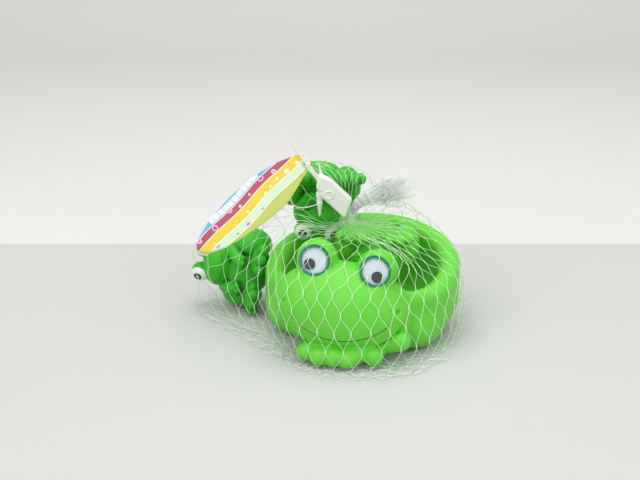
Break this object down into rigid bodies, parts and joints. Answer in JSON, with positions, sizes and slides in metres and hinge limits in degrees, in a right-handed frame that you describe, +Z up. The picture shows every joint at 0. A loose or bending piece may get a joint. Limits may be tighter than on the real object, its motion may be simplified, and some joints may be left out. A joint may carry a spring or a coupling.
{
  "type": "bath toy set",
  "caption": "Squeaky mother frog with an open tub on her back and small frogs, in a net bag with a moulded clip and a header card",
  "frame": {"origin": "point on the floor under the middle of the mother frog's tub, on the underside of the net", "axes": "+Z up, +X to the right and -Y towards the viewer of the picture, where the mother faces"},
  "size_m": [0.1789, 0.1421, 0.1306],
  "materials": {
    "vinyl": "satin",
    "squeaker": "gloss",
    "reed": "matte",
    "eye_cup": "gloss",
    "eye_disc": "gloss",
    "pupil": "gloss",
    "clear_cap": "gloss",
    "net": "satin",
    "clip": "satin",
    "card": "gloss print"
  },
  "bodies": {
    "mother": {"mother_shell": "vinyl", "mother_squeaker_body": "squeaker", "mother_squeaker_insert": "squeaker", "mother_squeaker_reed": "reed", "left_eye_cup": "eye_cup", "left_eye_disc": "eye_disc", "left_eye_dome": "clear_cap", "right_eye_cup": "eye_cup", "right_eye_disc": "eye_disc", "right_eye_dome": "clear_cap", "net_base": "net", "net_pouch": "net"},
    "left_pupil": {"left_pupil": "pupil"},
    "right_pupil": {"right_pupil": "pupil"},
    "left_baby": {"left_baby_shell": "vinyl", "left_baby_squeaker_body": "squeaker", "left_baby_squeaker_insert": "squeaker", "left_baby_squeaker_reed": "reed"},
    "top_baby": {"top_baby_shell": "vinyl", "top_baby_squeaker_body": "squeaker", "top_baby_squeaker_insert": "squeaker", "top_baby_squeaker_reed": "reed"},
    "tub_baby": {"tub_baby_shell": "vinyl", "tub_baby_squeaker_body": "squeaker", "tub_baby_squeaker_insert": "squeaker", "tub_baby_squeaker_reed": "reed"},
    "bag_top": {"bag_clip": "clip", "net_tail": "net"},
    "card": {"header_card": "card"}
  },
  "joints": [
    {"name": "left_pupil_roll", "type": "hinge", "parent": "mother", "child": "left_pupil", "pos_m": [-0.03025, -0.04672, 0.06196], "axis": [-0.207, -0.9533, 0.2201], "continuous": true},
    {"name": "right_pupil_roll", "type": "hinge", "parent": "mother", "child": "right_pupil", "pos_m": [0.00568, -0.05177, 0.05686], "axis": [-0.207, -0.9533, 0.2201], "continuous": true},
    {"name": "left_baby_lift", "type": "slide", "parent": "mother", "child": "left_baby", "axis": [0, 0, 1], "range_m": [0, 0.005]},
    {"name": "top_baby_shift", "type": "slide", "parent": "mother", "child": "top_baby", "axis": [-0.9397, -0.342, 0], "range_m": [0, 0.0035]},
    {"name": "tub_baby_shift", "type": "slide", "parent": "mother", "child": "tub_baby", "axis": [1, 0, 0], "range_m": [0, 0.008]},
    {"name": "neck_lift", "type": "slide", "parent": "mother", "child": "bag_top", "axis": [0, 0, 1], "range_m": [0, 0.012], "deforming": ["net_pouch"]},
    {"name": "card_swing", "type": "hinge", "parent": "bag_top", "child": "card", "pos_m": [-0.03536, -0.00935, 0.11127], "axis": [-0.2242, 0.9511, -0.2127], "range_deg": [0, 90]}
  ]
}
